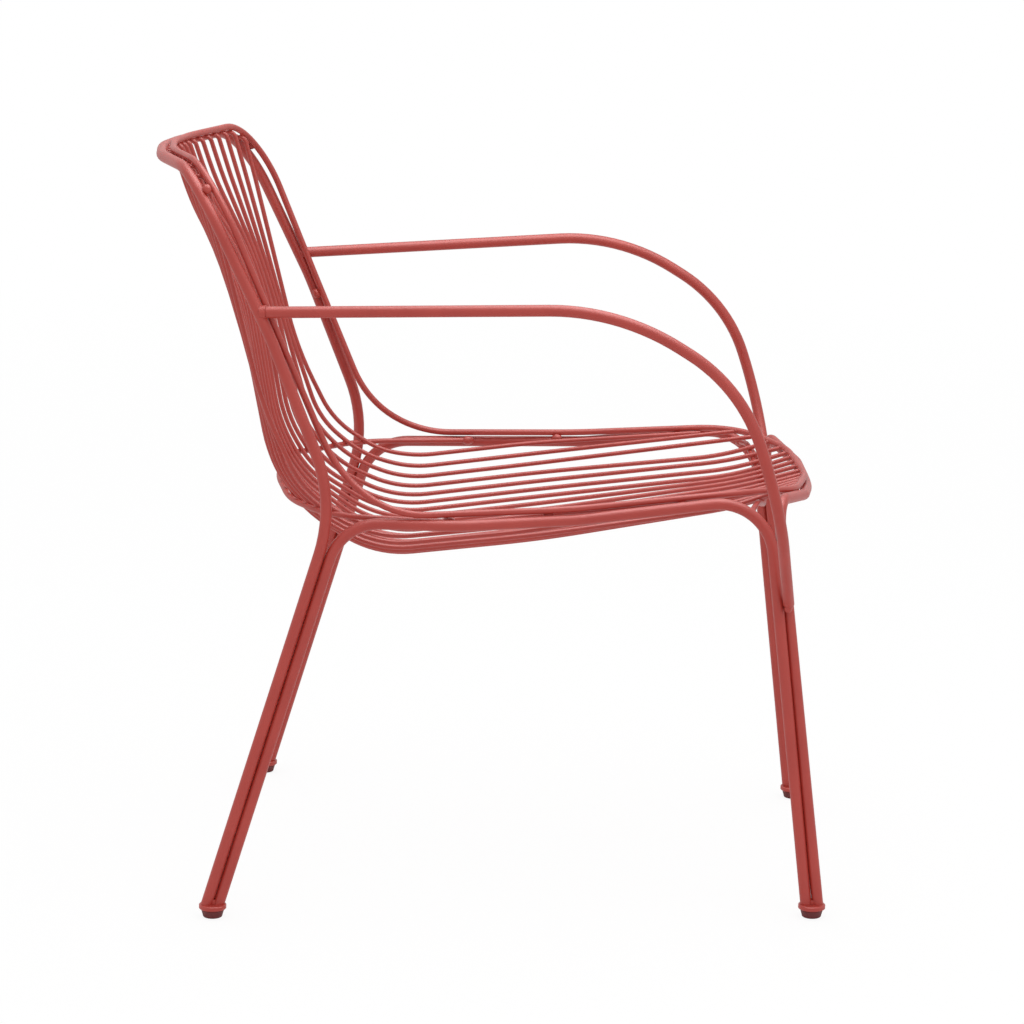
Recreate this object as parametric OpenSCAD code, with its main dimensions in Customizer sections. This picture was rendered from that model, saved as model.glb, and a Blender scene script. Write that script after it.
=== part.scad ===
// Low garden armchair welded from bent steel tube, with a seat and back of curved wires.
// Lengths are in millimetres. +Z is up, +X is the sitter's left and -Y is the front.

/* [Tubes and wires] */
// Diameter of the frame tubes
tube_d = 12; // [10:0.5:14]
// Diameter of the rod that rims the seat and the back
rim_d = 7; // [6:0.5:8]
// Diameter of the two rods that cross under the wires
rod_d = 6; // [5:0.5:7]
// Diameter of the wires
wire_d = 5; // [4:0.5:6]

/* [Back] */
// Height of the rear tube's middle at its shoulders
shoulder_h = 771.5; // [740:0.5:800]
// Half the width between the shoulder corners
shoulder_x = 198; // [185:1:205]
// Distance of the shoulder corners behind the middle of the feet
shoulder_y = 351; // [335:1:365]
// Distance of the top of the back behind the middle of the feet
back_y = 399; // [385:1:415]
// Half the width of the back, to the middle of the rear tube
back_x = 235; // [225:1:245]

/* [Seat] */
// Height of the side rails where they are lowest
rail_h = 413; // [395:1:430]
// Height of the side rails at the front corner
rail_front_h = 443; // [430:1:455]
// Half the width between the side rails at the rear
rail_rear_x = 243; // [236:1:250]
// Half the width between the side rails at the front
rail_front_x = 207; // [202:1:214]
// Distance of the rails' front corners before the middle of the feet
rail_front_y = 254; // [245:1:262]
// Distance of the front edge before the middle of the feet
front_edge_y = 303; // [295:1:315]
// Height of the front edge at its middle
front_edge_h = 429; // [420:1:438]
// Height of the middle wire where the seat is lowest
seat_low_h = 345; // [335:1:360]

/* [Arms] */
// Height of the arms where they leave the rear tube
arm_rear_h = 629; // [610:1:650]
// Height of the arms before they bend down
arm_front_h = 649; // [635:1:670]
// Half the width between the arms at the front bend
arm_front_x = 299; // [290:1:310]
// Height where the arms end on the front legs
arm_end_h = 334; // [310:1:350]

/* [Feet] */
// Half the width between the rear tube's feet
rear_foot_x = 285; // [270:1:300]
// Distance of the rear tube's feet behind the middle
rear_foot_y = 319; // [305:1:330]
// Half the width between the side frames' front feet
front_foot_x = 229.5; // [222:0.5:240]
// Distance of the side frames' front feet before the middle
front_foot_y = 306.5; // [296:0.5:318]
// Diameter of the plates under the legs
plate_d = 28.5; // [27:0.5:34]
// Thickness of the plates under the legs
plate_t = 5; // [4:0.5:8]
// Diameter of the plastic glides under the plates
glide_d = 24; // [20:0.5:26]
// Height of the plastic glides
glide_h = 9; // [7:0.5:14]
// Diameter of the stem that holds a glide in its plate
stem_d = 6; // [4:0.5:8]

/* [Wires] */
// Number of wires across the seat, an odd number
wire_count = 21; // [17:2:23]
// Distance between the outermost wires at the two edges
wire_span = 400; // [390:2:404]
// How far the wires spread sideways over the seat
wire_spread = 28; // [20:1:34]

/* [Hidden] */
$fn = 48;

// Clearances between pieces
fit_gap = 0.05;
pair_gap = 0.2;
rim_gap = 0.8;
hole_gap = 0.1;

// Seams between the straight and bent runs of a tube
seam = 0.1;
collar = 1;
collar_rise = 0.03;
shortest_collar_share = 24;
arc_steps = 12;

// Distances between the middles of pieces that lie side by side
pair_step = tube_d + pair_gap;
rim_step = (tube_d + rim_d) / 2 + rim_gap;
rod_step = (tube_d + rod_d) / 2 + fit_gap;
wire_on_rod = (wire_d + rod_d) / 2 + fit_gap;
wire_on_rim = (wire_d + rim_d) / 2 + fit_gap;

leg_end_h = glide_h + plate_t;

// Unit vector along v
function unit(v) = v / norm(v);

// Unit vector square to z
function square_to(z) = unit(abs(z.z) < 0.9 ? cross([0, 0, 1], z) : cross([1, 0, 0], z));

// Angle that a tube turns through at corner q
function turn(p, q, s) = acos(max(-1, min(1, unit(q - p) * unit(s - q))));

// Distance from corner i to the start of its bend
function bend_reach(pts, rad, i) =
    i == 0 || i == len(pts) - 1 ? 0 : rad[i] * tan(turn(pts[i - 1], pts[i], pts[i + 1]) / 2);

// Centre of the bend at corner q
function bend_centre(p, q, s, r) =
    q + unit(unit(p - q) + unit(s - q)) * r / cos(turn(p, q, s) / 2);

// Points along the bend at corner q
function bend_points(p, q, s, r) =
    let (w = turn(p, q, s), c = bend_centre(p, q, s, r), reach = r * tan(w / 2))
    let (from = q + unit(p - q) * reach - c, to = q + unit(s - q) * reach - c)
    [for (j = [0 : arc_steps]) c + (sin(w * (1 - j / arc_steps)) * from + sin(w * j / arc_steps) * to) / sin(w)];

// Points along the middle line of a bent tube
function middle_line(pts, rad) =
    concat([pts[0]],
        [for (i = [1 : len(pts) - 2]) each bend_points(pts[i - 1], pts[i], pts[i + 1], rad[i])],
        [pts[len(pts) - 1]]);

// Points of a line at a given x, y or z
function at_x(line, x) = [x, lookup(x, [for (p = line) [p.x, p.y]]), lookup(x, [for (p = line) [p.x, p.z]])];
function at_y(line, y) = [lookup(y, [for (p = line) [p.y, p.x]]), y, lookup(y, [for (p = line) [p.y, p.z]])];
function at_z(line, z) = [lookup(z, [for (p = line) [p.z, p.x]]), lookup(z, [for (p = line) [p.z, p.y]]), z];

// Directions of a line at a given x, y or z
function along_x(line, x) = unit(at_x(line, x + 1) - at_x(line, x - 1));
function along_y(line, y) = unit(at_y(line, y + 1) - at_y(line, y - 1));
function along_z(line, z) = unit(at_z(line, z + 1) - at_z(line, z - 1));

// Point of the straight line through q along d that lies nearest to p
function foot_of(p, q, d) = q + d * ((p - q) * d);

// Level shift that lays a second tube along h beside one that runs along d
function beside(d, h, step) = h * step / sqrt(1 - pow(h * d, 2));

// Point at height z on the straight line through p along d
function on_height(p, d, z) = p + d * (z - p.z) / d.z;

// Mirror image across the middle of the chair
function flip(p) = [-p.x, p.y, p.z];

// Whole route and radii of a symmetric tube from its half that ends in the middle
function both_sides(half) = concat(half, [for (i = [len(half) - 2 : -1 : 0]) flip(half[i])]);
function both_radii(half) = concat(half, [for (i = [len(half) - 2 : -1 : 0]) half[i]]);

// Rear tube, from one foot over the top of the back
waist = [back_x + 1, 192, rail_h + 19];
back_bend_h = 603;
rear_foot = [rear_foot_x, rear_foot_y, leg_end_h];
rear_half = [
    rear_foot,
    waist,
    [back_x, 260, back_bend_h],
    [back_x - 3, shoulder_y - 30, shoulder_h - 41.5],
    [shoulder_x, shoulder_y, shoulder_h],
    [shoulder_x - 121, back_y - 8, shoulder_h - 1],
    [0, back_y, shoulder_h]
];
rear_radii = [0, 160, 400, 98, 68, 200, 200];
rear_line = middle_line(both_sides(rear_half), both_radii(rear_radii));
rear_side = middle_line(rear_half, rear_radii);
rear_top = middle_line([for (i = [3 : 7]) both_sides(rear_half)[i]], [0, 68, 200, 200, 0]);

// Side frame, from its rear foot along the seat to its front foot
rear_leg_way = unit(waist - rear_foot);
rear_pair = beside(rear_leg_way, unit([-0.27, -0.96, 0]), pair_step);
front_foot = [front_foot_x, -front_foot_y, leg_end_h];
front_corner = [rail_front_x, -rail_front_y, rail_front_h];
front_leg_way = unit(front_corner - front_foot);
side_route = [
    rear_foot + rear_pair,
    on_height(rear_foot + rear_pair, rear_leg_way, rail_h - 1),
    [rail_rear_x, 64, rail_h],
    [(rail_rear_x + rail_front_x) / 2, -60, rail_h + 6],
    front_corner,
    front_foot
];
side_radii = [0, 55, 200, 200, 58, 0];
side_line = middle_line(side_route, side_radii);

// Front tube, inside the side frames' front legs and under the front edge
front_pair = beside(front_leg_way, unit([-0.08, -1, 0]), pair_step);
front_top_pair = beside(front_leg_way, unit([-0.66, -0.75, 0]), pair_step + 1);
front_half = [
    front_foot + front_pair,
    on_height(front_corner + front_top_pair, front_leg_way, rail_front_h - 4),
    [92, -front_edge_y + 6, front_edge_h + 6.5 - rim_step],
    [0, -front_edge_y - 2, front_edge_h - 1.7 - rim_step]
];
front_radii = [0, 30, 60, 300];

// Rim rod round the seat and the back, a closed loop
rung = [0, 12, -6.5];
rim_half = [
    rear_half[6] - rung,
    rear_half[5] - rung,
    rear_half[4] - rung,
    rear_half[3] + [0, -15, 3],
    rear_half[2] + unit([-1, -1, 0]) * (rim_step + 1),
    waist + [-14, 0, 30],
    side_route[2] + [1, 67, rim_step - 1.5],
    side_route[3] + [-1, 11, rim_step],
    front_corner + [-13, 24, 3],
    [118, -front_edge_y + 16, front_edge_h + 7],
    [0, -front_edge_y, front_edge_h]
];
rim_radii = [200, 200, 68, 98, 400, 112, 94, 600, 114, 91, 200];
rim_front = middle_line([for (i = [7 : 13]) both_sides(rim_half)[i]], [0, 114, 91, 200, 91, 114, 0]);
rim_side = middle_line([for (i = [2 : 9]) rim_half[i]], [0, 98, 400, 112, 94, 600, 114, 0]);
rim_top = middle_line([for (i = [3 : -1 : 0]) rim_half[i]], [0, 68, 200, 0]);

// Arm, from the rear tube to the crease between the front legs
arm_start = at_z(rear_side, arm_rear_h);
leg_at_end = on_height(front_foot, front_leg_way, arm_end_h);
hoop_at_end = at_z(middle_line(front_half, front_radii), arm_end_h);
leg_gap_way = unit(hoop_at_end - leg_at_end);
crease_way = [-leg_gap_way.y, leg_gap_way.x, 0];
crease_reach = sqrt(pow(pair_step + fit_gap, 2) - pow(norm(hoop_at_end - leg_at_end) / 2, 2));
arm_end = (leg_at_end + hoop_at_end) / 2 + crease_way * crease_reach;
arm_route = [
    arm_start,
    [arm_front_x, -96, arm_front_h],
    [arm_front_x + 1, -221, arm_front_h - 76],
    [arm_front_x + 13, -262, arm_end_h + 118],
    arm_end
];
arm_radii = [0, 226, 170, 149, 0];

// Rear cross rod, a wide U that carries the wires behind the seat
rear_rod_weld_y = 75;
rear_rod_end = at_y(side_line, rear_rod_weld_y) + unit([-0.96, 0, 0.27]) * rod_step;
rear_rod_half = [
    rear_rod_end,
    [215, 200, rail_h + 2],
    [141, 248, rail_h + 4],
    [72, 266, rail_h + 14],
    [0, 268, rail_h + 18]
];
rear_rod_radii = [0, 90, 150, 150, 150];
rear_rod_line = middle_line(both_sides(rear_rod_half), both_radii(rear_rod_radii));

// Front cross rod, under the wires just behind the front edge
front_rod_weld_y = -236;
front_rod_half = [
    at_y(side_line, front_rod_weld_y),
    [168, -front_edge_y + 58, front_edge_h + 2],
    [95, -front_edge_y + 49, front_edge_h - 15],
    [0, -front_edge_y + 45, front_edge_h - 18]
];
front_rod_radii = [0, 60, 150, 300];
front_rod_line = middle_line(both_sides(front_rod_half), both_radii(front_rod_radii));

// Wires: each value is given for the middle wire and for the outermost one
dish = 2.3;
front_reach = [69, 55];
slope_y = [-21, 2];
slope_h = [seat_low_h + 25, seat_low_h + 73];
low_y = [165, 132];
low_h = [seat_low_h, seat_low_h + 56];
crossing_angle = [63, 32];
crossing_before = 25;
crossing_after = 39;
back_knee_y = [312, 271];
back_knee_h = [645, 525];
top_drop_y = [15, 12];
top_drop_h = 44.7;
top_spread = 4.8;
top_bend_r = 7;
top_lead = 2.8;
bend_share = 0.45;
longest_bend_r = 500;
rods_from_side = 3;

// Number of wires on each side of the middle one
wires_a_side = (wire_count - 1) / 2;

// Value between the middle wire's and the outermost wire's, at share c of the way out
function across(v, c) = v[0] + (v[1] - v[0]) * pow(c, dish);

// Sideways place of a wire that bulges out by spread at share c
function out_at(c, width, spread) = width * c + spread * 4 * c * (1 - c);

// Place where a wire leaves the rim at the front edge
function wire_start(c) =
    let (p = at_x(rim_front, c * wire_span / 2))
    c < 1 ? p : p + unit([-0.5, 0, -0.86]) * wire_on_rim;

// Corners of a wire on the sitter's left, from the front edge to the top of the back
function wire_half_route(c) =
    let (half = wire_span / 2, start = wire_start(c))
    let (slope = [out_at(c, half + 12, wire_spread + 5), across(slope_y, c), across(slope_h, c)])
    let (low = [out_at(c, half + 6, wire_spread + 1), across(low_y, c), across(low_h, c)])
    let (over = at_x(front_rod_line, start.x + (slope.x - start.x) * 0.12) + [0, 0.25, 0.97] * wire_on_rod)
    let (a = across(crossing_angle, c), way = [0, cos(a), sin(a)])
    let (cross_x = out_at(c, half + 5, wire_spread * 0.43))
    let (on_rod = at_x(rear_rod_line, cross_x) + [0, -sin(a), cos(a)] * wire_on_rod)
    let (knee = [out_at(c, half, wire_spread * 0.7), across(back_knee_y, c), across(back_knee_h, c)])
    let (rim = at_x(rim_top, c * half), end = at_x(rear_top, c * half), top = top_corner(rim, end))
    concat([start],
        c > 1 - rods_from_side / wires_a_side + 0.01 ? []
            : [start + unit(over - start) * across(front_reach, c)],
        [slope, low, on_rod - way * crossing_before, on_rod + way * crossing_after, knee,
            top + [out_at(c, 0, top_spread), -across(top_drop_y, c), -top_drop_h], top, end]);

// Corner under the rim from which a wire runs on to the rear tube
function top_corner(rim, end) =
    let (back = [0, rim.y - end.y, rim.z - end.z], far = norm(back))
    let (a = atan2(back.z, back.y) + asin(wire_on_rim / far))
    end + [0, cos(a), sin(a)] * (sqrt(far * far - wire_on_rim * wire_on_rim) + top_lead);

// Bend radii that leave a straight stretch between each two corners
function wire_radii(pts) =
    [for (i = [0 : len(pts) - 1])
        i == 0 || i == len(pts) - 1 ? 0
            : i == len(pts) - 2 ? top_bend_r
            : min(longest_bend_r, bend_share * min(norm(pts[i] - pts[i - 1]), norm(pts[i + 1] - pts[i]))
                / tan(turn(pts[i - 1], pts[i], pts[i + 1]) / 2))];

function wire_name(i) = str(i < 10 ? "wire_0" : "wire_", i);

// Middle of the chair from its rearmost point to the front of the front plates
rear_end_y = max([for (p = rear_line) p.y]) + tube_d / 2;
front_pair_middle = front_foot + front_pair / 2;
rear_pair_middle = rear_foot + rear_pair / 2;
middle_y = (rear_end_y + front_pair_middle.y - plate_d / 2) / 2;

SIDES = ["left", "right"];
ENDS = ["front", "rear"];

// Children in a frame with its origin at p and its axes along x, y and z
module placed(p, x, y, z)
    multmatrix([[x.x, y.x, z.x, p.x], [x.y, y.y, z.y, p.y], [x.z, y.z, z.z, p.z], [0, 0, 0, 1]])
        children();

// Straight round bar from p to q
module bar(p, q, d) {
    z = unit(q - p);
    x = square_to(z);
    placed(p, x, cross(z, x), z) cylinder(d = d, h = norm(q - p));
}

// Round bar through p along way, reaching equally far to both sides
module bar_through(p, way, d, reach = 20) bar(p - way * reach, p + way * reach, d);

// Bend at corner q, with a flush collar over the seam at each end
module elbow(p, q, s, r, d) {
    w = turn(p, q, s);
    c = bend_centre(p, q, s, r);
    from = q + unit(p - q) * r * tan(w / 2);
    to = q + unit(s - q) * r * tan(w / 2);
    x = unit(from - c);
    n = unit(cross(unit(s - q), unit(p - q)));
    trim = seam / r * 180 / PI;
    placed(c, x, cross(n, x), n)
        rotate([0, 0, trim]) rotate_extrude(angle = w - 2 * trim) translate([r, 0]) circle(d = d);
    half_collar = min(collar / 2, r / shortest_collar_share);
    bar_through(from, unit(p - q), d + 2 * collar_rise, half_collar);
    bar_through(to, unit(s - q), d + 2 * collar_rise, half_collar);
}

// Straight run between two corners that stops at the seams of their bends
module run(p, q, reach_p, reach_q, d) {
    way = unit(q - p);
    bar(p + way * (reach_p > 0 ? reach_p + seam : 0), q - way * (reach_q > 0 ? reach_q + seam : 0), d);
}

// Bent round bar through the corners pts
module swept(pts, rad, d) {
    for (i = [0 : len(pts) - 2])
        run(pts[i], pts[i + 1], bend_reach(pts, rad, i), bend_reach(pts, rad, i + 1), d);
    for (i = [1 : len(pts) - 2])
        elbow(pts[i - 1], pts[i], pts[i + 1], rad[i], d);
}

// Closed bent round bar through the corners pts
module swept_loop(pts, rad, d) {
    n = len(pts);
    reach = [for (i = [0 : n - 1]) rad[i] * tan(turn(pts[(i + n - 1) % n], pts[i], pts[(i + 1) % n]) / 2)];
    for (i = [0 : n - 1]) {
        run(pts[i], pts[(i + 1) % n], reach[i], reach[(i + 1) % n], d);
        elbow(pts[(i + n - 1) % n], pts[i], pts[(i + 1) % n], rad[i], d);
    }
}

// Children moved so that the middle of the chair stands at the origin
module in_place() translate([0, -middle_y, 0]) children();

// Children on the sitter's left or their mirror image on the right
module on_side(side) mirror([side == "left" ? 0 : 1, 0, 0]) children();

// Space under the leg ends, which are cut level with the plates
module under_legs() translate([-500, -500, leg_end_h - 100]) cube([1000, 1000, 100]);

// Route whose first corner is drawn further down, for a level cut
function longer_start(pts) = concat([pts[0] + unit(pts[0] - pts[1]) * tube_d], [for (i = [1 : len(pts) - 1]) pts[i]]);
function longer_ends(pts) =
    let (n = len(pts), from = longer_start(pts))
    concat([for (i = [0 : n - 2]) from[i]], [pts[n - 1] + unit(pts[n - 1] - pts[n - 2]) * tube_d]);

// Rear legs and the tube round the back, bent from one length
module rear_hoop()
    color("indianred") in_place() difference() {
        swept(longer_ends(both_sides(rear_half)), both_radii(rear_radii), tube_d);
        under_legs();
    }

// Front legs and the tube under the front edge, bent from one length
module front_hoop()
    color("indianred") in_place() difference() {
        swept(longer_ends(both_sides(front_half)), both_radii(front_radii), tube_d);
        under_legs();
    }

// Second pair of legs on one side and the seat rail between them
module side_frame(side)
    color("indianred") in_place() on_side(side) difference() {
        swept(longer_ends(side_route), side_radii, tube_d);
        under_legs();
    }

// Rod that closes the seat and the back all round
module shell_rim()
    color("indianred") in_place()
        swept_loop([for (i = [0 : 2 * len(rim_half) - 3]) both_sides(rim_half)[i]],
            [for (i = [0 : 2 * len(rim_half) - 3]) both_radii(rim_radii)[i]], rim_d);

// Arm tube, fitted round the rear tube at its rear end
module armrest(side)
    color("indianred") in_place() on_side(side) difference() {
        swept(arm_route, arm_radii, tube_d);
        bar_through(arm_start, along_z(rear_side, arm_rear_h), tube_d + 2 * fit_gap);
        bar_through(leg_at_end, front_leg_way, tube_d + 2 * fit_gap);
        bar_through(hoop_at_end, unit(front_half[1] - front_half[0]), tube_d + 2 * fit_gap);
    }

module rear_cross_rod()
    color("indianred") in_place()
        swept(both_sides(rear_rod_half), both_radii(rear_rod_radii), rod_d);

// Front cross rod, fitted round the side frames at both ends
module front_cross_rod()
    color("indianred") in_place() difference() {
        swept(both_sides(front_rod_half), both_radii(front_rod_radii), rod_d);
        for (side = SIDES)
            on_side(side)
                bar_through(front_rod_half[0], along_y(side_line, front_rod_weld_y), tube_d + 2 * fit_gap, 12);
    }

// One wire; it butts on the rim at the front and on the rear tube at the top
module wire(i) {
    place = (i - 1 - wires_a_side) / wires_a_side;
    pts = wire_half_route(abs(place));
    side = place < 0 ? "right" : "left";
    x = abs(place) * wire_span / 2;
    color("indianred") in_place() on_side(side) difference() {
        swept(pts, wire_radii(pts), wire_d);
        bar_through(at_x(rim_front, x), along_x(rim_front, x), rim_d + 2 * fit_gap, 12);
        bar_through(pts[len(pts) - 1], along_x(rear_top, x), tube_d + 2 * fit_gap, 12);
    }
}

// Weld bead of radius r at p that leaves room for the bars that it joins
module bead(p, r) difference() {
    translate(p) rotate([0, 90, 0]) sphere(r = r);
    children();
}

// Short welds that hold the rim to the side frame and to the rear tube
rail_weld_y = [-27, -170];
hoop_weld_h = [back_bend_h - 21, shoulder_h - 19.5];
rim_bead_r = 5.2;
module rim_welds(side)
    color("indianred") in_place() on_side(side) {
        for (y = rail_weld_y) {
            p = at_y(rim_side, y);
            way = along_y(side_line, y);
            q = foot_of(p, at_y(side_line, y), way);
            bead((p * tube_d + q * rim_d) / (tube_d + rim_d), rim_bead_r) {
                bar_through(p, along_y(rim_side, y), rim_d + 2 * fit_gap);
                bar_through(q, way, tube_d + 2 * fit_gap);
            }
        }
        for (z = hoop_weld_h) {
            p = at_z(rim_side, z);
            way = along_z(rear_side, z);
            q = foot_of(p, at_z(rear_side, z), way);
            bead((p * tube_d + q * rim_d) / (tube_d + rim_d), rim_bead_r) {
                bar_through(p, along_z(rim_side, z), rim_d + 2 * fit_gap);
                bar_through(q, way, tube_d + 2 * fit_gap);
            }
        }
    }

// Welds at the two ends of an arm
arm_ring_t = 1.2;
arm_ring_l = 2.5;
arm_bead_r = 5;
module arm_welds(side) {
    way = unit(arm_route[1] - arm_route[0]);
    end_way = unit(arm_route[4] - arm_route[3]);
    color("indianred") in_place() on_side(side) {
        difference() {
            bar(arm_start + way * 2, arm_start + way * (tube_d / 2 + arm_ring_l), tube_d + 2 * arm_ring_t);
            bar_through(arm_start, way, tube_d + 2 * fit_gap);
            bar_through(arm_start, along_z(rear_side, arm_rear_h), tube_d + 2 * fit_gap);
        }
        bead(arm_end + end_way * 3, arm_bead_r) {
            bar(arm_route[3], arm_end + end_way * fit_gap, tube_d + 2 * fit_gap);
            bar_through(leg_at_end, front_leg_way, tube_d + 2 * fit_gap);
            bar_through(hoop_at_end, unit(front_half[1] - front_half[0]), tube_d + 2 * fit_gap);
        }
    }
}

// Welds at the ends of the two cross rods
rod_bead_r = 4.6;
module rod_welds(side)
    color("indianred") in_place() on_side(side) {
        rear_way = along_y(side_line, rear_rod_weld_y);
        rear_rail = at_y(side_line, rear_rod_weld_y);
        bead((rear_rod_end + rear_rail) / 2 + rear_way * 3, rod_bead_r) {
            bar(rear_rod_end, rear_rod_half[1], rod_d + 2 * fit_gap);
            bar_through(rear_rail, rear_way, tube_d + 2 * fit_gap);
        }
        rod_way = unit(front_rod_half[1] - front_rod_half[0]);
        bead(front_rod_half[0] + rod_way * (tube_d / 2 + 1), rod_bead_r) {
            bar_through(front_rod_half[0], rod_way, rod_d + 2 * fit_gap);
            bar_through(front_rod_half[0], along_y(side_line, front_rod_weld_y), tube_d + 2 * fit_gap, 12);
        }
    }

// Places and directions of the two tubes of a leg
function leg_tubes(end) = end == "rear"
    ? [[rear_foot, rear_leg_way], [rear_foot + rear_pair, rear_leg_way]]
    : [[front_foot, front_leg_way], [front_foot + front_pair, unit(front_half[1] - front_half[0])]];
function leg_middle(end) = end == "rear" ? rear_pair_middle : front_pair_middle;

// Weld in the creases between the two tubes of a leg, just above the plate
leg_weld_d = 9;
leg_weld_h = 5;
module leg_weld(end, side)
    color("indianred") in_place() on_side(side) difference() {
        translate(leg_middle(end)) cylinder(d = leg_weld_d, h = leg_weld_h);
        for (tube = leg_tubes(end))
            bar_through(tube[0], tube[1], tube_d + 2 * fit_gap);
    }

// Round plate under a leg, with the hole for the glide's stem
plate_edge = 0.8;
module foot_plate(end, side)
    color("indianred") in_place() on_side(side)
        translate([leg_middle(end).x, leg_middle(end).y, glide_h])
            rotate_extrude()
                polygon([
                    [stem_d / 2 + hole_gap, 0],
                    [plate_d / 2 - plate_edge, 0],
                    [plate_d / 2, plate_edge],
                    [plate_d / 2, plate_t - plate_edge],
                    [plate_d / 2 - plate_edge, plate_t],
                    [stem_d / 2 + hole_gap, plate_t]
                ]);

// Plastic glide with a rounded tread and a stem
tread_taper = 1.75;
tread_edge = 2;
stem_free = 0.5;
module glide(end, side) {
    tread_r = glide_d / 2 - tread_taper;
    edge = [for (a = [-90 : 15 : 0]) [tread_r - tread_edge + tread_edge * cos(a), tread_edge + tread_edge * sin(a)]];
    color("maroon") in_place() on_side(side)
        translate([leg_middle(end).x, leg_middle(end).y, 0])
            rotate_extrude()
                polygon(concat([[0, 0]], edge, [
                    [glide_d / 2, glide_h - 1],
                    [glide_d / 2 - 1, glide_h],
                    [stem_d / 2, glide_h],
                    [stem_d / 2, glide_h + plate_t - stem_free],
                    [0, glide_h + plate_t - stem_free]
                ]));
}

rear_hoop();
shell_rim();
front_hoop();
rear_cross_rod();
front_cross_rod();
for (s = SIDES) {
    side_frame(s);
    armrest(s);
    arm_welds(s);
    rim_welds(s);
    rod_welds(s);
    for (e = ENDS) {
        leg_weld(e, s);
        foot_plate(e, s);
        glide(e, s);
    }
}
for (i = [1 : wire_count])
    wire(i);
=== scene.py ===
"""Garden armchair of bent steel tube and wire in brick red powder coat.

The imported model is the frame. This script gives its nodes their finishes,
adds the small welds of the wires and the tubes, and sets the light and the camera.
All lengths are in metres.
"""

import logging
import math
from collections.abc import Iterable, Mapping
from dataclasses import dataclass, field
from enum import Enum
from typing import Any

import bpy
import numpy as np
from mathutils import Matrix, Vector
from mathutils.bvhtree import BVHTree


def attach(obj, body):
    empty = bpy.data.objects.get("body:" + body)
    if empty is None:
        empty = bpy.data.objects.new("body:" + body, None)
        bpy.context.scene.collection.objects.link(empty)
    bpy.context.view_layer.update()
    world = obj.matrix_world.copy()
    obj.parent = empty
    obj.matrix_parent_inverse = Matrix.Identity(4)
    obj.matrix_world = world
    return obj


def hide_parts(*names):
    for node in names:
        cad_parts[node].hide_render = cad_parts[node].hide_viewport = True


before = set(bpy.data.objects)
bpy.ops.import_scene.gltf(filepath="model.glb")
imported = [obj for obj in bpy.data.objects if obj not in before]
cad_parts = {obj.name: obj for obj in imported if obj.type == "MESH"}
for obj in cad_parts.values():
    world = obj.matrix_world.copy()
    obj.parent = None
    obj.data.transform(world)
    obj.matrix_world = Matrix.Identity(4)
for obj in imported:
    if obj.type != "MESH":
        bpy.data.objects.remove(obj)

log = logging.getLogger("garden_armchair")

Colour = tuple[float, float, float]
Pair = tuple[float, float]
Triple = tuple[float, float, float]

WHITE = (1.0, 1.0, 1.0, 1.0)
NOISE_MIDDLE = 0.5


# Shader maths

class Value:
    """A number that a material's nodes work out."""

    def __init__(self, bench: "NodeBench", socket: bpy.types.NodeSocket) -> None:
        """Keeps the bench that adds nodes and the socket that gives the number."""
        self.bench = bench
        self.socket = socket

    def _maths(self, operation: str, *terms: "Value | float") -> "Value":
        """Adds one Math node.

        Args:
            operation: The node's operation.
            terms: Its inputs, in order.

        Returns:
            The node's result.
        """
        return self.bench.node("ShaderNodeMath", {"operation": operation},
                               dict(enumerate(terms)))

    def __add__(self, other: "Value | float") -> "Value":
        """Sum."""
        return self._maths("ADD", self, other)

    def __sub__(self, other: "Value | float") -> "Value":
        """Difference."""
        return self._maths("SUBTRACT", self, other)

    def __rsub__(self, other: "Value | float") -> "Value":
        """Difference from a plain number."""
        return self._maths("SUBTRACT", other, self)

    def __mul__(self, other: "Value | float") -> "Value":
        """Product."""
        return self._maths("MULTIPLY", self, other)

    __radd__ = __add__
    __rmul__ = __mul__

    def spread(self, low: float, high: float) -> "Value":
        """The value from low to high, stretched over 0 to 1 and kept inside it.

        Args:
            low: Value that becomes 0.
            high: Value that becomes 1.

        Returns:
            The stretched value.
        """
        return self.bench.node("ShaderNodeMapRange", {"clamp": True},
                               {"Value": self, "From Min": low, "From Max": high})


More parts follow.
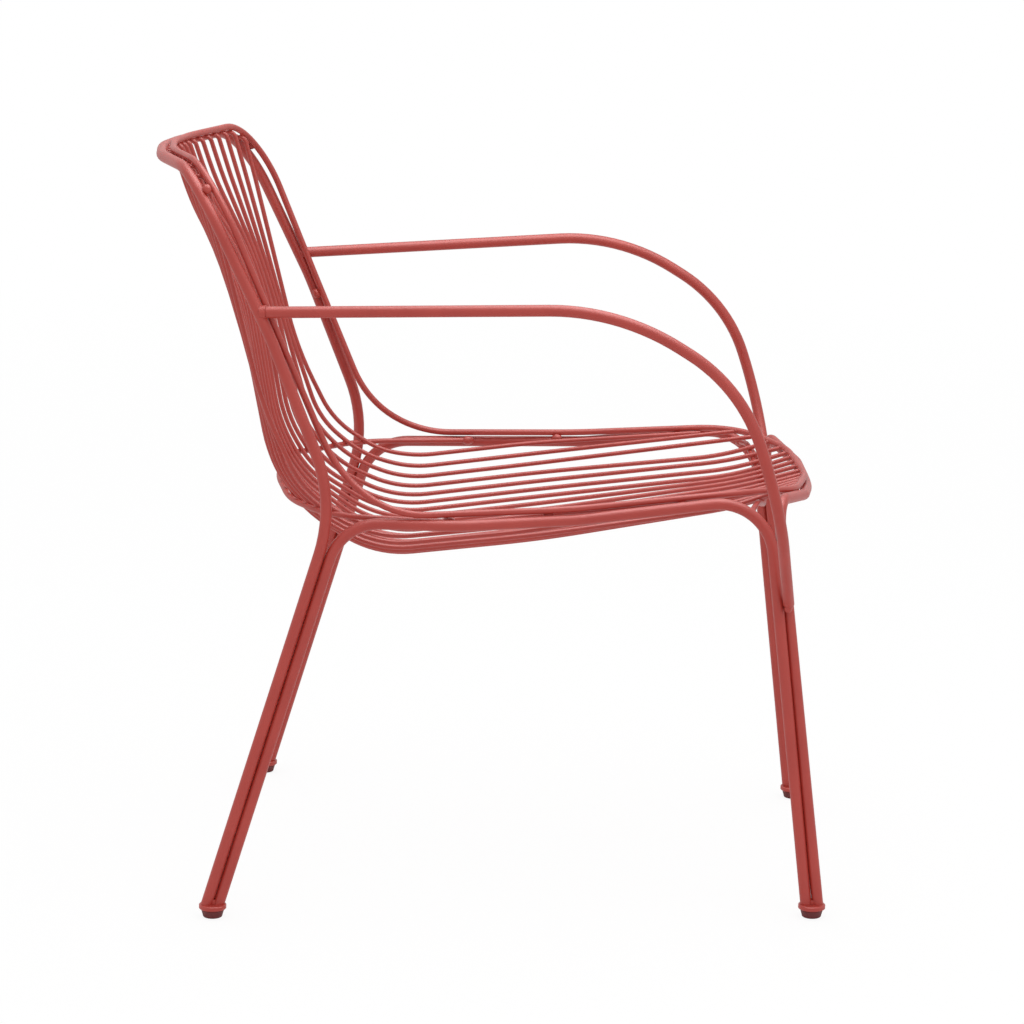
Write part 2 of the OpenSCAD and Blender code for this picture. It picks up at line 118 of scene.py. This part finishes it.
class NodeBench:
    """Adds nodes to one new material."""

    noise_roughness = 0.55
    colour_sockets = (6, 7)
    colour_result = 2

    def __init__(self, name: str) -> None:
        """Starts a material that holds nothing but its output."""
        self.material = bpy.data.materials.new(name)
        self.material.use_nodes = True
        self.tree = self.material.node_tree
        self.tree.nodes.clear()
        self.output = self.tree.nodes.new("ShaderNodeOutputMaterial")

    def node(self, kind: str, settings: Mapping[str, Any] | None = None,
             inputs: Mapping[str | int, Any] | None = None, result: str | int = 0) -> Value:
        """Adds one node.

        Args:
            kind: The node's type.
            settings: Its settings, which are set before its sockets.
            inputs: Values or links of its sockets, by name or number.
            result: The output socket that is wanted.

        Returns:
            That output.
        """
        made = self.tree.nodes.new(kind)
        for key, value in (settings or {}).items():
            setattr(made, key, value)
        for key, value in (inputs or {}).items():
            if isinstance(value, Value):
                self.tree.links.new(value.socket, made.inputs[key])
            else:
                made.inputs[key].default_value = value
        return Value(self, made.outputs[result])

    def place(self) -> Value:
        """The point on the surface, in metres."""
        return self.node("ShaderNodeTexCoord", result="Object")

    def noise(self, where: Value, size: float, detail: float = 2.0) -> Value:
        """Cloudy noise.

        Args:
            where: The point on the surface.
            size: Width of one cloud.
            detail: How many finer layers it has.

        Returns:
            Noise from 0 to 1.
        """
        return self.node("ShaderNodeTexNoise", {"noise_dimensions": "3D"},
                         {"Vector": where, "Scale": 1.0 / size, "Detail": detail,
                          "Roughness": self.noise_roughness}, "Fac")

    def blend(self, share: Value, first: Value | Colour, second: Value | Colour) -> Value:
        """Mixes two colours.

        Args:
            share: How much of the second colour there is.
            first: Colour where share is 0.
            second: Colour where share is 1.

        Returns:
            The mixed colour.
        """
        pair = zip(self.colour_sockets, (first, second))
        inputs = {key: c if isinstance(c, Value) else (*c, 1.0) for key, c in pair}
        return self.node("ShaderNodeMix", {"data_type": "RGBA"}, {0: share, **inputs},
                         self.colour_result)

    def bump(self, height: Value, depth: float, strength: float = 1.0,
             under: Value | None = None) -> Value:
        """Turns a height into the way that the surface faces.

        Args:
            height: Height from 0 to 1.
            depth: How deep a height of 1 is.
            strength: Share of the effect.
            under: A coarser or finer normal that this one adds to.

        Returns:
            The normal.
        """
        inputs = {"Height": height, "Distance": depth, "Strength": strength}
        if under is not None:
            inputs["Normal"] = under
        return self.node("ShaderNodeBump", inputs=inputs)

    def finish(self, shader: Value) -> bpy.types.Material:
        """Links the shader to the output and gives the material."""
        self.tree.links.new(shader.socket, self.output.inputs["Surface"])
        return self.material


# Finishes

class Grain(Enum):
    """How coarse the surface under the coat is."""

    DRAWN_TUBE = "drawn_tube"
    WELD_BEAD = "weld_bead"


@dataclass(frozen=True)
class PowderCoat:
    """Satin brick red powder coat, a little mottled, with fine orange peel."""

    name: str = "brick_powder_coat"
    grain: Grain = Grain.DRAWN_TUBE
    thin_coat: Colour = (0.430, 0.038, 0.024)
    full_coat: Colour = (0.362, 0.024, 0.014)
    speck: Colour = (0.455, 0.080, 0.064)
    cloud: float = 0.045
    mottled: Pair = (0.32, 0.68)
    mottle_share: float = 0.55
    powder_share: float = 0.3
    specks_between: Pair = (0.66, 0.78)
    speck_share: float = 0.35
    peel: float = 0.0011
    peel_depth: float = 0.00002
    ripple: float = 0.0016
    ripple_depth: float = 0.00035
    ripple_strength: float = 0.8
    roughness: float = 0.50
    mottle_roughness: float = 0.06
    powder_roughness: float = 0.08
    gloss: float = 0.28
    gloss_roughness: float = 0.36

    def material(self) -> bpy.types.Material:
        """Builds the coat's nodes.

        Returns:
            The finished material.
        """
        bench = NodeBench(self.name)
        where = bench.place()
        mottle = bench.noise(where, self.cloud, 3.0).spread(*self.mottled)
        powder = bench.noise(where, self.peel * 0.5, 1.0)
        share = mottle * self.mottle_share + powder * self.powder_share
        colour = bench.blend(share, self.full_coat, self.thin_coat)
        specks = powder.spread(*self.specks_between) * self.speck_share
        colour = bench.blend(specks, colour, self.speck)
        normal = bench.bump(bench.noise(where, self.peel, 2.0), self.peel_depth)
        if self.grain is Grain.WELD_BEAD:
            waves = bench.noise(where, self.ripple, 1.0)
            normal = bench.bump(waves, self.ripple_depth, self.ripple_strength, normal)
        roughness = (self.roughness + (mottle - NOISE_MIDDLE) * self.mottle_roughness
                     + (powder - NOISE_MIDDLE) * self.powder_roughness)
        shader = bench.node("ShaderNodeBsdfPrincipled", inputs={
            "Base Color": colour,
            "Roughness": roughness,
            "Normal": normal,
            "Coat Weight": self.gloss,
            "Coat Roughness": self.gloss_roughness,
        })
        return bench.finish(shader)


@dataclass(frozen=True)
class MouldedPlastic:
    """Dark maroon plastic of the glides, with moulding texture and a scuffed tread."""

    name: str = "maroon_glide_plastic"
    body: Colour = (0.120, 0.012, 0.012)
    worn: Colour = (0.190, 0.040, 0.038)
    texture: float = 0.0007
    texture_depth: float = 0.00004
    scuffed_below: float = 0.003
    scuff_cloud: float = 0.006
    scuffed: Pair = (0.4, 0.65)
    scuff_share: float = 0.7
    grain_share: float = 0.12
    roughness: float = 0.5
    scuff_roughness: float = 0.2
    grain_roughness: float = 0.1

    def material(self) -> bpy.types.Material:
        """Builds the plastic's nodes.

        Returns:
            The finished material.
        """
        bench = NodeBench(self.name)
        where = bench.place()
        height = bench.node("ShaderNodeSeparateXYZ", inputs={0: where}, result="Z")
        low = 1.0 - height.spread(0.0, self.scuffed_below)
        cloud = bench.noise(where, self.scuff_cloud, 3.0)
        scuff = low * cloud.spread(*self.scuffed)
        grain = bench.noise(where, self.texture, 2.0)
        normal = bench.bump(grain, self.texture_depth)
        share = scuff * self.scuff_share + grain * self.grain_share
        roughness = (self.roughness + scuff * self.scuff_roughness
                     + (grain - NOISE_MIDDLE) * self.grain_roughness)
        shader = bench.node("ShaderNodeBsdfPrincipled", inputs={
            "Base Color": bench.blend(share, self.body, self.worn),
            "Roughness": roughness,
            "Normal": normal,
        })
        return bench.finish(shader)


@dataclass(frozen=True)
class StudioFloor:
    """Plain white floor that fades into white with distance and keeps a faint shadow."""

    name: str = "white_floor"
    white: Colour = (0.86, 0.86, 0.86)
    glow: float = 0.895
    shaded: float = 0.10
    fades_from: float = 1.2
    fades_to: float = 4.5

    def material(self) -> bpy.types.Material:
        """Builds the floor's nodes.

        Returns:
            The finished material.
        """
        bench = NodeBench(self.name)
        plain = bench.node("ShaderNodeBsdfDiffuse", inputs={"Color": (*self.white, 1.0)})
        glow = bench.node("ShaderNodeEmission", inputs={"Color": WHITE, "Strength": self.glow})
        faint = bench.node("ShaderNodeBsdfDiffuse", inputs={"Color": (self.shaded,) * 3 + (1.0,)})
        near = bench.node("ShaderNodeAddShader", inputs={0: glow, 1: faint})
        far = bench.node("ShaderNodeEmission", inputs={"Color": WHITE, "Strength": 1.0})
        reach = bench.node("ShaderNodeVectorMath", {"operation": "LENGTH"}, {0: bench.place()},
                           "Value")
        faded = reach.spread(self.fades_from, self.fades_to)
        seen = bench.node("ShaderNodeMixShader", inputs={0: faded, 1: near, 2: far})
        path = bench.node("ShaderNodeLightPath", result="Is Camera Ray")
        floor = bench.node("ShaderNodeMixShader", inputs={0: path, 1: plain, 2: seen})
        return bench.finish(floor)


# Modelling by operators

def deselect_all() -> None:
    """Leaves object mode with nothing selected."""
    if bpy.context.mode != "OBJECT":
        bpy.ops.object.mode_set(mode="OBJECT")
    bpy.ops.object.select_all(action="DESELECT")


def copies_joined(name: str, models: list[bpy.types.Object],
                  places: Iterable[Matrix]) -> bpy.types.Object:
    """Copies a few models to many places and joins the copies.

    Args:
        name: Name of the joined piece.
        models: The models, which are used in turn and then removed.
        places: Where each copy goes.

    Returns:
        One object at the origin with its place in its mesh.
    """
    deselect_all()
    copies = []
    for i, place in enumerate(places):
        copy = bpy.data.objects.new(f"{name}_{i}", models[i % len(models)].data.copy())
        bpy.context.scene.collection.objects.link(copy)
        copy.matrix_world = place
        copies.append(copy)
    for copy in copies:
        copy.select_set(True)
    bpy.context.view_layer.objects.active = copies[0]
    bpy.ops.object.join()
    piece = bpy.context.view_layer.objects.active
    bpy.ops.object.transform_apply(location=True, rotation=True, scale=True)
    piece.name = name
    piece.data.name = name
    for model in models:
        bpy.data.objects.remove(model)
    deselect_all()
    return piece


def dress(piece: bpy.types.Object, material: bpy.types.Material) -> None:
    """Gives a piece one material in all its slots."""
    if not piece.material_slots:
        piece.data.materials.append(material)
    for slot in piece.material_slots:
        slot.material = material


def mount(piece: bpy.types.Object, material: bpy.types.Material) -> bpy.types.Object:
    """Finishes a new piece and lets it ride on the chair.

    Args:
        piece: The new piece, in place.
        material: Its finish.

    Returns:
        The same piece.
    """
    dress(piece, material)
    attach(piece, "root")
    log.info("piece %s: %d faces", piece.name, len(piece.data.polygons))
    return piece


# Where the steel pieces meet

@dataclass
class SteelPiece:
    """A node of the frame, with its surface ready for questions."""

    name: str
    points: np.ndarray = field(init=False)
    surface: BVHTree = field(init=False)
    touch_rounds: int = 40

    def __post_init__(self) -> None:
        """Reads the node's mesh."""
        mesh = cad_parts[self.name].data
        self.points = np.empty(len(mesh.vertices) * 3)
        mesh.vertices.foreach_get("co", self.points)
        self.points = self.points.reshape(-1, 3)
        self.surface = BVHTree.FromPolygons([v.co for v in mesh.vertices],
                                            [p.vertices for p in mesh.polygons])

    def touch(self, other: "SteelPiece", near: Vector) -> tuple[Vector, Vector]:
        """Finds where two round bars touch, by going to and fro between them.

        Args:
            other: The bar that carries this one.
            near: A point near the touch.

        Returns:
            The middle of the touch, and the direction from the other bar to this one.
        """
        here = near
        for _ in range(self.touch_rounds):
            there, facing, _, _ = other.surface.find_nearest(here)
            here, _, _, _ = self.surface.find_nearest(there)
        return (here + there) / 2, facing.normalized()

    def axis_at(self, near: Vector, aside: float = 0.02) -> Vector:
        """Finds the direction of this round bar from how its surface faces.

        Args:
            near: A point beside the bar.
            aside: How far the two points that are compared lie from it.

        Returns:
            The bar's direction there.
        """
        above = self.surface.find_nearest(near + Vector((0, 0, aside)))[1]
        beside = self.surface.find_nearest(near + Vector((aside, 0, 0)))[1]
        return above.cross(beside).normalized()

    def end_on(self, other: "SteelPiece", reach: float,
               keep: Iterable[bool]) -> tuple[Vector, Vector, float]:
        """Finds the end of this bar that is cut to fit another bar.

        Args:
            other: The bar that it butts on.
            reach: How near to the other bar the cut edge lies.
            keep: Which of this bar's points may belong to the end.

        Returns:
            The middle of the cut, the way that its plane faces, and how round it is.
        """
        edge = [p for p, wanted in zip(self.points, keep)
                if wanted and other.surface.find_nearest(Vector(p))[3] < reach]
        edge = np.array(edge)
        middle = edge.mean(axis=0)
        _, spread, ways = np.linalg.svd(edge - middle, full_matrices=False)
        return Vector(middle), Vector(ways[2]), float(spread[1] / spread[0])


def turned(point: Vector, up: Vector, along: Vector) -> Matrix:
    """A place whose Z is up and whose X follows along as well as it can.

    Args:
        point: Origin of the place.
        up: Its Z direction.
        along: Its X direction, before it is squared to up.

    Returns:
        The place as a matrix.
    """
    z = up.normalized()
    x = (along - z * along.dot(z)).normalized()
    y = z.cross(x)
    return Matrix.Translation(point) @ Matrix((x, y, z)).transposed().to_4x4()


def rough_nugget(size: Triple, roughening: float, seed: int) -> bpy.types.Object:
    """Shapes one uneven nugget of weld.

    Args:
        size: Half its length, width and height.
        roughening: How far its surface wanders.
        seed: Seed of its unevenness.

    Returns:
        The nugget at the origin, longest in X and flattest in Z.
    """
    deselect_all()
    bpy.ops.mesh.primitive_ico_sphere_add(subdivisions=3, radius=1.0, location=(0, 0, 0))
    nugget = bpy.context.view_layer.objects.active
    bpy.ops.object.mode_set(mode="EDIT")
    bpy.ops.mesh.select_all(action="SELECT")
    bpy.ops.transform.resize(value=size)
    bpy.ops.transform.vertex_random(offset=roughening, uniform=0.2, normal=0.8, seed=seed)
    bpy.ops.mesh.vertices_smooth(factor=0.5, repeat=2)
    bpy.ops.object.mode_set(mode="OBJECT")
    bpy.ops.object.shade_smooth()
    return nugget


# Sub-assemblies

@dataclass
class WireWelds:
    """The welds of the seat and back wires, each shaped once and copied."""

    ring_radius: float = 0.00255
    ring_bead: float = 0.00085
    ring_segments: int = 22
    bead_segments: int = 8
    nugget_size: Triple = (0.0031, 0.0021, 0.0010)
    roughening: float = 0.00022
    nugget_roughening: float = 1.6
    variants: int = 3
    cut_reach: float = 0.00012
    least_roundness: float = 0.6
    front_ends_y: Pair = (-0.40, -0.20)
    top_ends_y: Pair = (0.25, 0.40)
    rim_top: Pair = (0.34, 0.765)
    rear_rod: Pair = (0.22, 0.43)
    front_rod: Pair = (-0.296, 0.415)
    beside_front_rod: int = 3
    wires: list[str] = field(default_factory=lambda: sorted(
        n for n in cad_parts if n.startswith("wire_")))

    def ring(self, seed: int) -> bpy.types.Object:
        """Shapes one ring of weld round a wire's end.

        Args:
            seed: Seed of its unevenness.

        Returns:
            The ring at the origin, round the Z axis.
        """
        deselect_all()
        bpy.ops.mesh.primitive_torus_add(
            major_segments=self.ring_segments, minor_segments=self.bead_segments,
            major_radius=self.ring_radius, minor_radius=self.ring_bead, location=(0, 0, 0))
        ring = bpy.context.view_layer.objects.active
        bpy.ops.object.mode_set(mode="EDIT")
        bpy.ops.mesh.select_all(action="SELECT")
        bpy.ops.transform.vertex_random(offset=self.roughening, uniform=0.3, normal=0.7, seed=seed)
        bpy.ops.mesh.vertices_smooth(factor=0.3, repeat=1)
        bpy.ops.object.mode_set(mode="OBJECT")
        bpy.ops.object.shade_smooth()
        return ring

    def rings(self, name: str, carrier: SteelPiece, ends_y: Pair) -> bpy.types.Object:
        """Puts a ring round the end of each wire that butts on a bar.

        A ring lies in the plane of the wire's cut. An end that meets the bar
        side-on isn't round and gets no ring.

        Args:
            name: Name of the piece.
            carrier: The bar that the wires butt on.
            ends_y: Foremost and rearmost place of the ends.

        Returns:
            All rings as one piece.
        """
        low_y, high_y = ends_y
        places = []
        for wire in map(SteelPiece, self.wires):
            y = wire.points[:, 1]
            keep = (y > low_y) & (y < high_y)
            middle, way, roundness = wire.end_on(carrier, self.cut_reach, keep)
            if roundness > self.least_roundness:
                places.append(turned(middle, way, Vector((0, 0, 1))))
        return copies_joined(name, [self.ring(i) for i in range(self.variants)], places)

    def nuggets(self, name: str, carrier: SteelPiece, bar: Pair, wires: Iterable[str],
                longest: float = 0.0012) -> bpy.types.Object:
        """Puts a nugget where each wire lies on a bar.

        Args:
            name: Name of the piece.
            carrier: The bar that the wires lie on.
            bar: Rough place of the bar, front to back and in height.
            wires: The wires that lie on it.
            longest: Widest gap that a nugget still fills.

        Returns:
            All nuggets as one piece.
        """
        places = []
        for wire in map(SteelPiece, wires):
            near = wire.points[np.argmin(((wire.points[:, 1:] - bar) ** 2).sum(axis=1))]
            point, out = wire.touch(carrier, Vector(near))
            if carrier.surface.find_nearest(point)[3] < longest:
                places.append(turned(point, out, Vector((1, 0, 0))))
        roughening = self.roughening * self.nugget_roughening
        models = [rough_nugget(self.nugget_size, roughening, i) for i in range(self.variants)]
        return copies_joined(name, models, places)

    def build(self, coat: bpy.types.Material) -> None:
        """Builds all welds of the wires.

        Args:
            coat: Finish of the welds.
        """
        rim, hoop = SteelPiece("shell_rim"), SteelPiece("rear_hoop")
        rear_rod, front_rod = SteelPiece("rear_cross_rod"), SteelPiece("front_cross_rod")
        on_front_rod = self.wires[self.beside_front_rod:-self.beside_front_rod]
        made = [
            self.rings("wire_front_end_welds", rim, self.front_ends_y),
            self.rings("wire_top_end_welds", hoop, self.top_ends_y),
            self.nuggets("rim_top_welds", rim, self.rim_top, self.wires),
            self.nuggets("rear_rod_nuggets", rear_rod, self.rear_rod, self.wires),
            self.nuggets("front_rod_nuggets", front_rod, self.front_rod, on_front_rod),
        ]
        for piece in made:
            mount(piece, coat)


@dataclass
class FrameWelds:
    """The beads that hold the rim, the cross rods and the arms' lower ends to the tubes.

    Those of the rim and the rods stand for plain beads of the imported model. Those
    under the arms are additional.
    """

    rim_bead: Triple = (0.0062, 0.0046, 0.0046)
    rod_bead: Triple = (0.0078, 0.0054, 0.0054)
    arm_bead: Triple = (0.0052, 0.0046, 0.0040)
    rim_bead_inset: float = 0.0048
    bead_within: float = 0.0248
    rod_end_within: float = 0.0156
    roughening: float = 0.0007
    variants: int = 3
    seat_below: float = 0.5
    shoulder_above: float = 0.7
    rear_rod_way: Triple = (-0.15, 0.99, 0.0)
    front_rod_way: Triple = (-0.97, -0.22, 0.0)
    arm_end_faces_y: float = -0.3

    def beads(self, node: str) -> list[Vector]:
        """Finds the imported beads.

        Args:
            node: The node that holds them.

        Returns:
            The middle of each bead.
        """
        points = SteelPiece(node).points
        middles = []
        while len(points):
            near = np.linalg.norm(points - points[0], axis=1) < self.bead_within
            middles.append(Vector(points[near].mean(axis=0)))
            points = points[~near]
        return middles

    def on_rim(self, side: str) -> list[Matrix]:
        """Lays the rim's beads in the crease between the rim and its tube.

        Args:
            side: Left or right.

        Returns:
            The places, on the inner side of the rim except at the shoulders.
        """
        rim, hoop = SteelPiece("shell_rim"), SteelPiece("rear_hoop")
        rail = SteelPiece(f"side_frame_{side}")
        places = []
        for bead in self.beads(f"rim_welds_{side}"):
            contact, out = rim.touch(rail if bead.z < self.seat_below else hoop, bead)
            along = rim.axis_at(contact)
            across = along.cross(out).normalized()
            outward = across.x * bead.x > 0
            if outward != (bead.z > self.shoulder_above):
                across.negate()
            places.append(turned(contact + across * self.rim_bead_inset, out, along))
        return places

    def on_rods(self, side: str) -> list[Matrix]:
        """Lays a bead round each end of the two cross rods.

        Args:
            side: Left or right.

        Returns:
            The places.
        """
        places = []
        for bead in self.beads(f"rod_welds_{side}"):
            rear = bead.y > 0
            rod = SteelPiece("rear_cross_rod" if rear else "front_cross_rod").points
            end = rod[np.linalg.norm(rod - bead, axis=1) < self.rod_end_within].mean(axis=0)
            way = Vector(self.rear_rod_way if rear else self.front_rod_way)
            way.x *= math.copysign(1.0, bead.x)
            places.append(turned(Vector(end), Vector((0, 0, 1)), way))
        return places

    def under_arms(self) -> list[Matrix]:
        """Lays a bead under the lower end of each arm, in the crease between the legs.

        Returns:
            The places.
        """
        places = []
        for side in ("left", "right"):
            points = SteelPiece(f"armrest_{side}").points
            end = points[points[:, 2] < points[:, 2].min() + self.arm_bead[0]].mean(axis=0)
            outward = Vector((math.copysign(1.0, end[0]), self.arm_end_faces_y, 0))
            below = Vector(end) - Vector((0, 0, self.arm_bead[0] / 2))
            places.append(turned(below, outward, Vector((0, 0, 1))))
        return places

    def build(self, coat: bpy.types.Material) -> None:
        """Builds the beads of both sides, and those under the arms.

        Args:
            coat: Finish of the welds.
        """
        for side in ("left", "right"):
            for kind, size, places in (("rim", self.rim_bead, self.on_rim(side)),
                                       ("rod", self.rod_bead, self.on_rods(side))):
                models = [rough_nugget(size, self.roughening, i) for i in range(self.variants)]
                beads = copies_joined(f"{kind}_beads_{side}", models, places)
                piece = mount(beads, coat)
                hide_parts(f"{kind}_welds_{side}")
        models = [rough_nugget(self.arm_bead, self.roughening, i) for i in range(self.variants)]
        mount(copies_joined("arm_end_beads", models, self.under_arms()), coat)


@dataclass
class TubeFrame:
    """The welded tubes, rods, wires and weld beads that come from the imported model."""

    weld_words: tuple[str, ...] = ("arm_welds", "rim_welds", "rod_welds", "leg_weld")
    plastic_words: tuple[str, ...] = ("glide",)

    def dress(self, coat: bpy.types.Material, welds: bpy.types.Material,
              plastic: bpy.types.Material) -> None:
        """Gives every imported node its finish.

        Args:
            coat: Finish of tubes, rods, wires and plates.
            welds: Finish of weld beads.
            plastic: Finish of the glides.
        """
        for name, node in sorted(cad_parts.items()):
            if name.startswith(self.plastic_words):
                material = plastic
            elif name.startswith(self.weld_words):
                material = welds
            else:
                material = coat
            dress(node, material)
            log.info("node %s: %s", name, material.name)


# Studio

@dataclass(frozen=True)
class SoftLamp:
    """A square soft lamp aimed at a point."""

    name: str
    place: tuple[float, float, float]
    aim: tuple[float, float, float]
    size: float
    power: float
    gloss_only: bool = False

    def hang(self) -> None:
        """Adds the lamp to the scene."""
        light = bpy.data.lights.new(self.name, "AREA")
        light.shape = "SQUARE"
        light.size = self.size
        light.energy = self.power
        lamp = bpy.data.objects.new(self.name, light)
        bpy.context.scene.collection.objects.link(lamp)
        lamp.visible_diffuse = not self.gloss_only
        lamp.location = self.place
        way = Vector(self.aim) - Vector(self.place)
        lamp.rotation_euler = way.to_track_quat("-Z", "Y").to_euler()


@dataclass
class Studio:
    """White floor, white surroundings, soft lamps and the camera."""

    floor_size: float = 40.0
    sky: float = 0.90
    lamps: tuple[SoftLamp, ...] = (
        SoftLamp("overhead_softbox", place=(-0.1, -0.2, 2.5), aim=(0.0, 0.0, 0.4),
                 size=2.4, power=14.0),
        SoftLamp("overhead_sheen", place=(-0.1, -0.2, 2.4), aim=(0.0, 0.0, 0.4),
                 size=2.2, power=66.0, gloss_only=True),
        SoftLamp("front_fill", place=(-2.4, -2.4, 1.6), aim=(0.0, 0.0, 0.45),
                 size=1.8, power=4.0),
    )
    camera_place: tuple[float, float, float] = (-3.95302, -0.12912, 1.18532)
    camera_yaw: float = 0.02703
    camera_pitch: float = 0.20097
    camera_roll: float = 0.018459
    focal_pixels: float = 3687.2
    picture_pixels: int = 1024
    sensor: float = 36.0

    def lay_floor(self) -> None:
        """Lays the floor under the glides."""
        deselect_all()
        bpy.ops.mesh.primitive_plane_add(size=self.floor_size, location=(0, 0, 0))
        floor = bpy.context.view_layer.objects.active
        floor.name = "studio_floor"
        dress(floor, StudioFloor().material())
        deselect_all()

    def light(self) -> None:
        """Sets the white surroundings and hangs the lamps."""
        world = bpy.data.worlds.new("white_studio")
        bpy.context.scene.world = world
        world.use_nodes = True
        nodes, links = world.node_tree.nodes, world.node_tree.links
        nodes.clear()
        sky = nodes.new("ShaderNodeBackground")
        sky.inputs["Strength"].default_value = self.sky
        seen = nodes.new("ShaderNodeBackground")
        seen.inputs["Strength"].default_value = 1.0
        for node in (sky, seen):
            node.inputs["Color"].default_value = WHITE
        path, mix, out = (nodes.new(f"ShaderNode{kind}")
                          for kind in ("LightPath", "MixShader", "OutputWorld"))
        links.new(path.outputs["Is Camera Ray"], mix.inputs[0])
        links.new(sky.outputs[0], mix.inputs[1])
        links.new(seen.outputs[0], mix.inputs[2])
        links.new(mix.outputs[0], out.inputs["Surface"])
        for lamp in self.lamps:
            lamp.hang()

    def set_camera(self) -> None:
        """Puts the camera where the photograph was taken from."""
        yaw, pitch, roll = self.camera_yaw, self.camera_pitch, self.camera_roll
        level = math.cos(pitch)
        ahead = Vector((math.cos(yaw) * level, math.sin(yaw) * level, -math.sin(pitch)))
        right = ahead.cross(Vector((0, 0, 1))).normalized()
        up = right.cross(ahead)
        right, up = (right * math.cos(roll) + up * math.sin(roll),
                     up * math.cos(roll) - right * math.sin(roll))
        camera = bpy.data.cameras.new("photo_camera")
        camera.sensor_width = self.sensor
        camera.lens = self.focal_pixels * self.sensor / self.picture_pixels
        holder = bpy.data.objects.new("photo_camera", camera)
        bpy.context.scene.collection.objects.link(holder)
        turn = Matrix((right, up, -ahead)).transposed().to_4x4()
        holder.matrix_world = Matrix.Translation(self.camera_place) @ turn
        bpy.context.scene.camera = holder

    def build(self) -> None:
        """Builds the whole studio."""
        self.lay_floor()
        self.light()
        self.set_camera()
        bpy.context.scene.view_settings.view_transform = "Standard"


def main() -> None:
    """Builds the studio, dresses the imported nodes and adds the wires' welds."""
    logging.basicConfig(level=logging.INFO, format="%(name)s %(message)s")
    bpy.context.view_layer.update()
    Studio().build()
    coat = PowderCoat().material()
    welds = PowderCoat(name="brick_powder_coat_on_welds", grain=Grain.WELD_BEAD).material()
    plastic = MouldedPlastic().material()
    TubeFrame().dress(coat, welds, plastic)
    WireWelds().build(welds)
    FrameWelds().build(welds)


if __name__ == "__main__":
    main()
